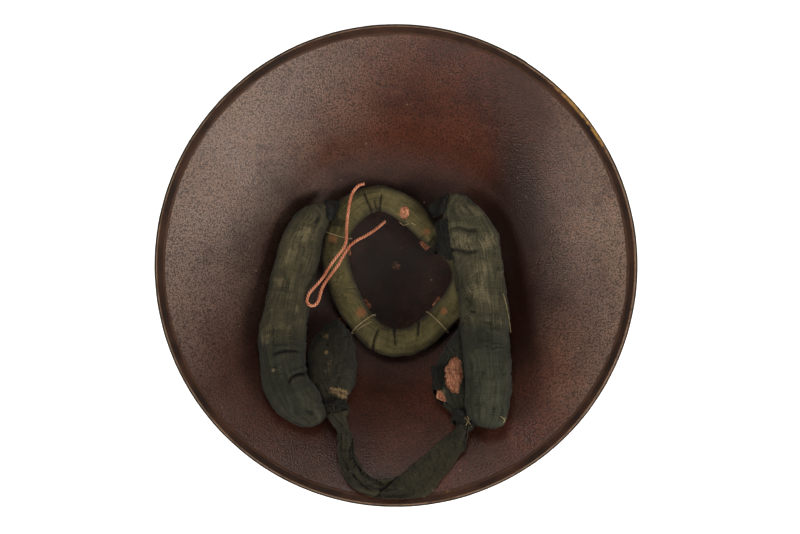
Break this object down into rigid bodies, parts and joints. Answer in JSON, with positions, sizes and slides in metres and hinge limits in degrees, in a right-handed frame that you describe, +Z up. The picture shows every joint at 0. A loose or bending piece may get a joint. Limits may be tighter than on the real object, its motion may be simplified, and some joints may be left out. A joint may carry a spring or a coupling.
{
  "type": "jingasa war hat",
  "caption": "Round lacquered rawhide hat with a curved brim, resting on its crown, with a padded head ring, padded side straps, a chin ribbon and a twisted cord.",
  "frame": {"origin": "middle of the flat face of the crown fitting, which the hat rests on", "axes": "+Z up, square to the rim, from the crown towards the open side; -Y towards the chin ribbon"},
  "size_m": [0.3999, 0.4, 0.1279],
  "materials": {
    "black_lacquer": "dark lacquer over rawhide, semi-gloss and lightly worn",
    "grained_lining": "red-brown lacquered lining with a fine pebbled grain",
    "rim_lacquer": "dark lacquered rim binding with worn golden patches",
    "crown_brass": "dark aged brass",
    "dark_iron": "dark iron with brown rust",
    "tab_leather": "rust-brown leather with ragged ends",
    "ring_cloth": "olive woven cloth, pleated and stained",
    "stuffing_fibre": "rust-brown loose fibre",
    "pale_thread": "pale twisted thread",
    "dark_thread": "dark twisted lashing cord",
    "worn_weave": "grey-green weave worn to brown in patches",
    "dark_cloth": "dark smooth cotton with creases",
    "torn_cloth": "dark cotton, frayed and torn",
    "ribbon_cloth": "dark folded cotton band",
    "rust_cord": "rust-orange two-ply twisted cord"
  },
  "bodies": {
    "hat": {"outer_shell": "black_lacquer", "inner_lining": "grained_lining", "rim_binding": "rim_lacquer", "crown_plate": "crown_brass", "crown_pin": "dark_iron", "tab_upper_left": "tab_leather", "tab_upper_right": "tab_leather", "tab_lower_left": "tab_leather", "tab_lower_right": "tab_leather", "tab_rivets": "dark_iron", "ring_cover": "ring_cloth", "ring_stuffing": "stuffing_fibre", "thread_ties": "pale_thread", "corner_lashing": "dark_thread", "left_long_pad_upper": "worn_weave", "right_long_pad_upper": "worn_weave", "left_long_stuffing_upper": "stuffing_fibre", "right_long_stuffing_upper": "stuffing_fibre", "hanging_cord": "rust_cord"},
    "left_strap": {"left_long_pad_lower": "dark_cloth", "left_long_stuffing_lower": "stuffing_fibre", "left_short_pad": "dark_cloth", "left_short_stuffing": "stuffing_fibre", "left_tie_lashing": "dark_thread"},
    "right_strap": {"right_long_pad_lower": "dark_cloth", "right_long_stuffing_lower": "stuffing_fibre", "right_short_pad": "torn_cloth", "right_short_stuffing": "stuffing_fibre", "right_tie_lashing": "dark_thread"},
    "ribbon": {"chin_ribbon": "ribbon_cloth"}
  },
  "joints": [
    {"name": "left_strap_swing", "type": "hinge", "parent": "hat", "child": "left_strap", "pos_m": [-0.052, -0.051, 0.0373], "axis": [-1, 0, 0], "range_deg": [0, 60], "deforming": ["left_long_pad_upper", "left_long_pad_lower", "left_long_stuffing_upper", "left_long_stuffing_lower"]},
    {"name": "right_strap_swing", "type": "hinge", "parent": "hat", "child": "right_strap", "pos_m": [0.06, -0.051, 0.0373], "axis": [-1, 0, 0], "range_deg": [0, 60], "deforming": ["right_long_pad_upper", "right_long_pad_lower", "right_long_stuffing_upper", "right_long_stuffing_lower"]},
    {"name": "ribbon_swing", "type": "hinge", "parent": "left_strap", "child": "ribbon", "pos_m": [-0.051, -0.127, 0.09479], "axis": [-0.997, 0.0544, -0.0557], "range_deg": [0, 70]}
  ],
  "couplings": [
    {"joint": "right_strap_swing", "follows": "left_strap_swing", "ratio": 1}
  ]
}
